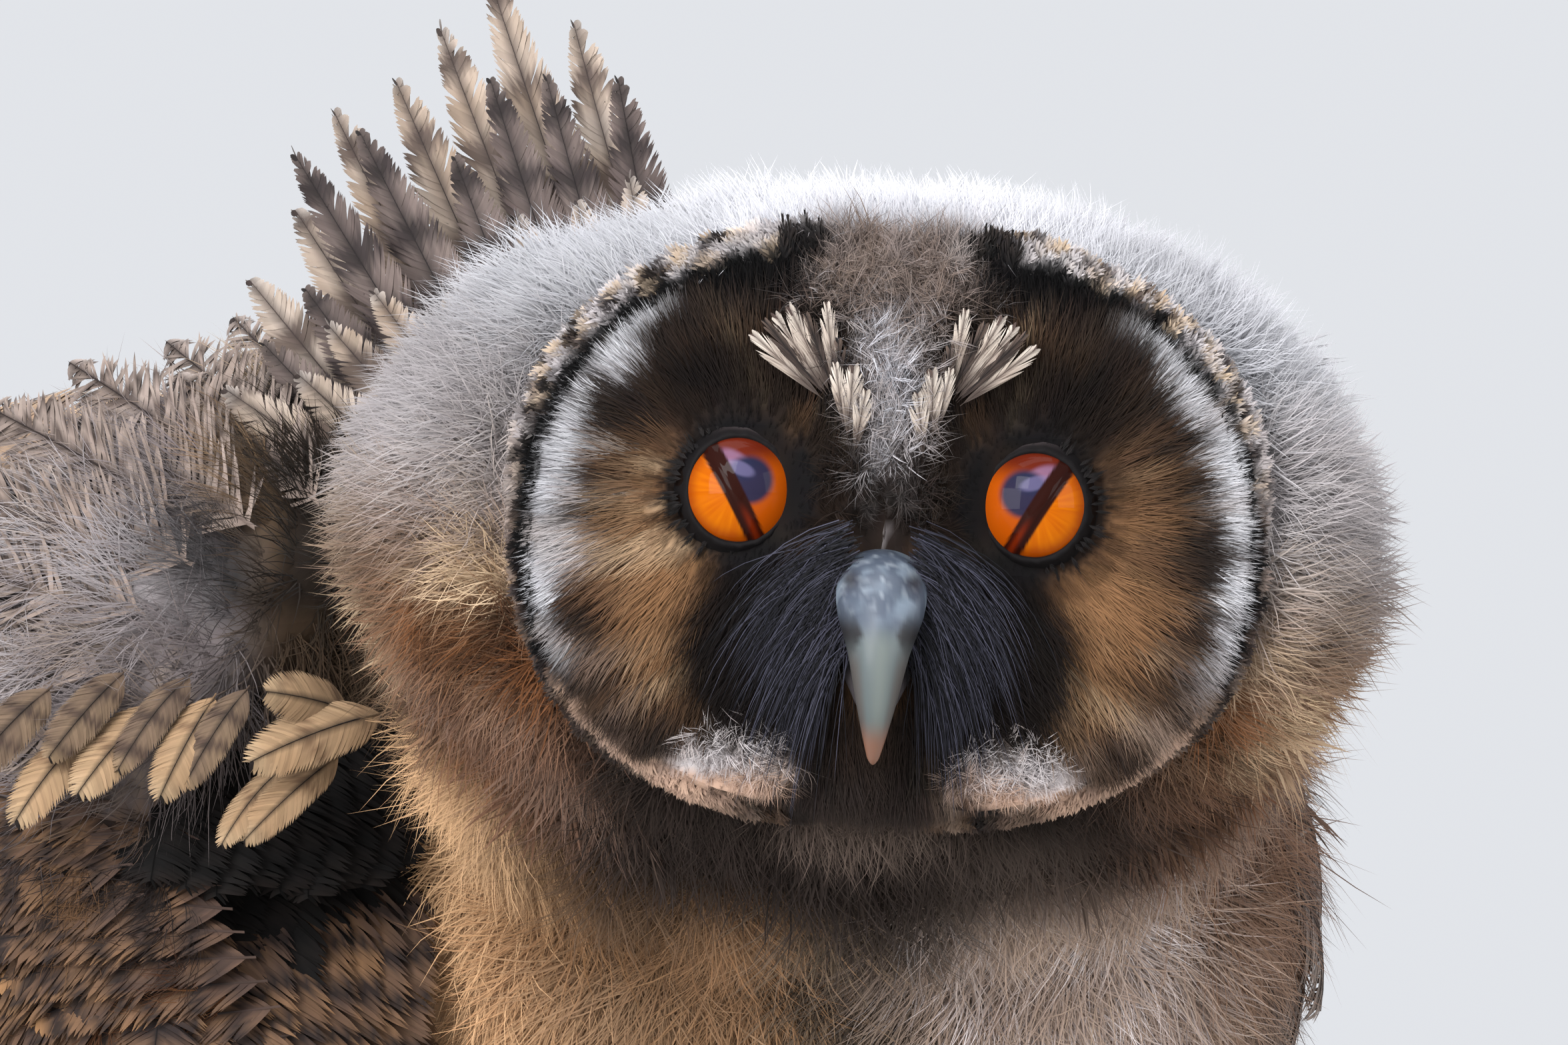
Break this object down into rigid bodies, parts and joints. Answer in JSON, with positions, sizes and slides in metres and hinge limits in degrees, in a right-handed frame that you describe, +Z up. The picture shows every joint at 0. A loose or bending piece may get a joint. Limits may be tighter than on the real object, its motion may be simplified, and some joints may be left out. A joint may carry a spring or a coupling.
{
  "type": "long eared owl fledgling",
  "caption": "Life-size long eared owl fledgling, head low and forward, one wing half open, gripping a short cut perch on a plain round display stand.",
  "frame": {"origin": "middle of the underside of the stand's round base", "axes": "+Z up, the bird looks along -Y, its left side is at +X"},
  "size_m": [0.2851, 0.2716, 0.2866],
  "materials": {
    "stand_wood": "satin dark wood",
    "steel": "brushed",
    "bark": "rough bark",
    "down": "soft grey and buff down",
    "face_and_crown": "fine facial feathers and whitish down",
    "feather": "barred brown and buff feathers",
    "eye": "wet gloss",
    "bill": "worn blue-grey horn",
    "talon": "dark horn"
  },
  "bodies": {
    "root": {"stand_base": "stand_wood", "stand_rod_right": "steel", "stand_rod_left": "steel", "perch_branch": "bark", "torso": "down", "neck": "down", "head": "face_and_crown", "thigh_right": "down", "thigh_left": "down", "foot_right": "down", "foot_left": "down", "ear_tuft_right": "feather", "ear_tuft_left": "feather", "eye_right": "eye", "eye_left": "eye", "bill_upper": "bill", "bill_lower": "bill", "tail": "feather", "wing_left_arm": "feather", "wing_left_hand": "feather", "wing_right_arm": "feather", "wing_right_hand": "feather", "wing_right_shoulder": "feather", "talon_right_front_inner": "talon", "talon_right_front_outer": "talon", "talon_right_back_inner": "talon", "talon_right_back_outer": "talon", "talon_left_front_inner": "talon", "talon_left_front_outer": "talon", "talon_left_back_inner": "talon", "talon_left_back_outer": "talon"}
  },
  "joints": []
}
